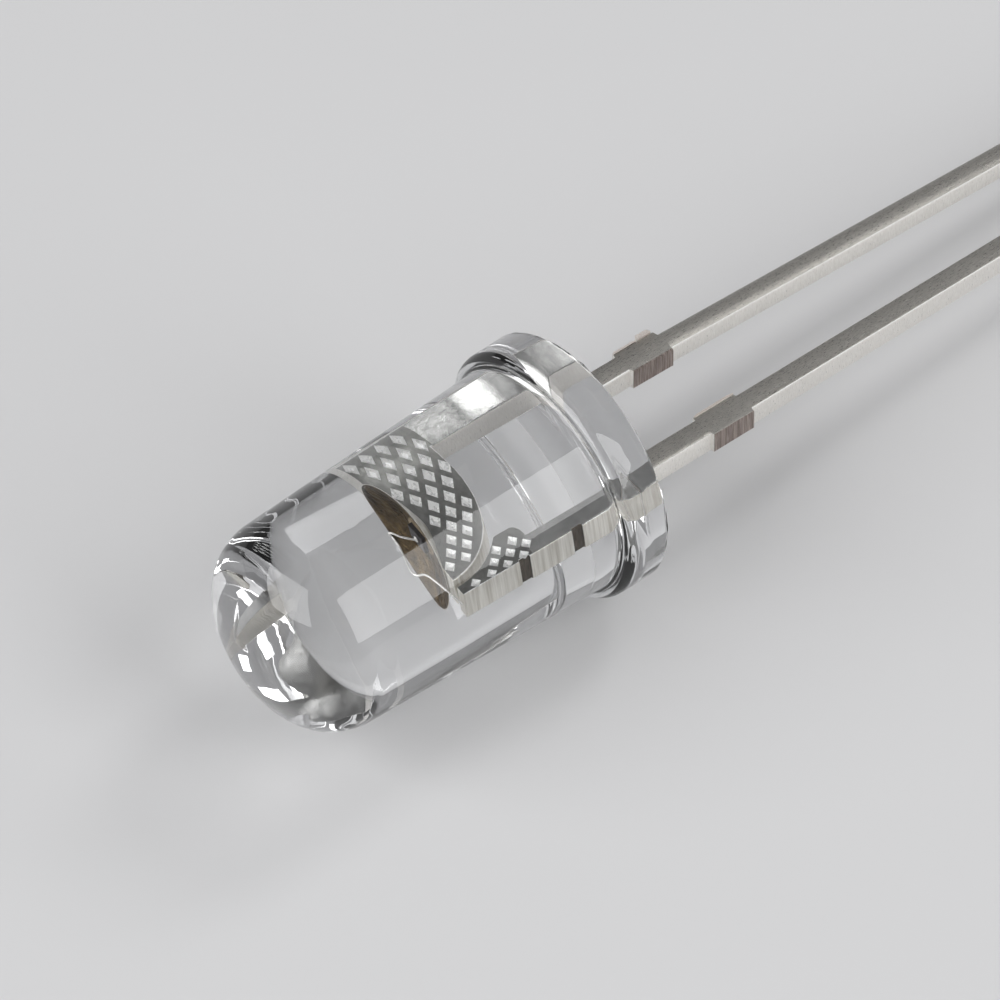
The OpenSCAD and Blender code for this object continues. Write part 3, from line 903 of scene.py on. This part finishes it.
def softbox(name, toward, distance, width, height, radiance, along):
    """Rectangular lamp that faces the body, its width along a direction; lengths in metres."""
    data = bpy.data.lights.new(name, "AREA")
    data.shape = "RECTANGLE"
    data.size = width
    data.size_y = height
    data.energy = radiance * math.pi * width * height
    lamp = bpy.data.objects.new(name, data)
    away = Vector(toward).normalized()
    x = Vector(along)
    x = (x - away * x.dot(away)).normalized()
    turn = Matrix((x, away.cross(x), away)).transposed().to_4x4()
    centre = BODY_PLACE @ Vector((BODY_H / 2, 0, 0))
    lamp.matrix_world = Matrix.Translation(centre + away * distance) @ turn
    bpy.context.scene.collection.objects.link(lamp)


def studio():
    """Four softboxes round the body, and a dim grey world."""
    body_x = (BODY_PLACE.to_3x3() @ Vector((1, 0, 0))).normalized()
    softbox("side_softbox", toward=(-0.226, 0.763, 0.607), distance=0.25,
            width=0.127, height=0.22, radiance=3.3, along=body_x)
    softbox("low_softbox", toward=(-0.76, 0.38, 0.53), distance=0.3,
            width=0.066, height=0.055, radiance=3.6, along=(0.06, 0.25, -0.07))
    softbox("back_softbox", toward=(-0.67, -0.04, 0.74), distance=0.3,
            width=0.10, height=0.07, radiance=5.0, along=body_x)
    softbox("front_softbox", toward=(0.80, -0.21, 0.555), distance=0.3,
            width=0.28, height=0.25, radiance=3.2, along=(-0.03, 0.505, 0.285))
    world = bpy.data.worlds.new("studio")
    world.use_nodes = True
    world.node_tree.nodes["Background"].inputs["Color"].default_value = WORLD_GREY
    bpy.context.scene.world = world


def camera():
    """Camera at about 45 degrees to the leads' plane, with the dome to the lower left."""
    cos, sin = math.cos(SIGHT_ANGLE), math.sin(SIGHT_ANGLE)
    away = Vector((cos, sin * math.cos(SIGHT_TURN), sin * math.sin(SIGHT_TURN)))
    axis = Vector((1, 0, 0))
    across = away.cross(axis).normalized()
    if across.z > 0:
        across.negate()
    along = (axis - cos * away) / sin
    right = -math.cos(AXIS_SLOPE) * along + math.sin(AXIS_SLOPE) * across
    down = math.sin(AXIS_SLOPE) * along + math.cos(AXIS_SLOPE) * across
    aim = -AIM_LEFT * right + AIM_DOWN * down
    turn = BODY_PLACE.to_3x3().normalized()
    data = bpy.data.cameras.new("camera")
    data.sensor_width = 36
    data.lens = data.sensor_width * SIGHT_DISTANCE / SIGHT_WIDTH
    data.clip_start = 0.01
    cam = bpy.data.objects.new("camera", data)
    axes = Matrix((turn @ right, turn @ -down, turn @ away)).transposed().to_4x4()
    cam.matrix_world = Matrix.Translation(BODY_PLACE @ (aim + away * SIGHT_DISTANCE)) @ axes
    bpy.context.scene.collection.objects.link(cam)
    bpy.context.scene.camera = cam


camera()
cast_body()
cathode()
anode()
chip()
adhesive()
wire()
floor()
studio()
bpy.context.scene.view_settings.view_transform = "Standard"
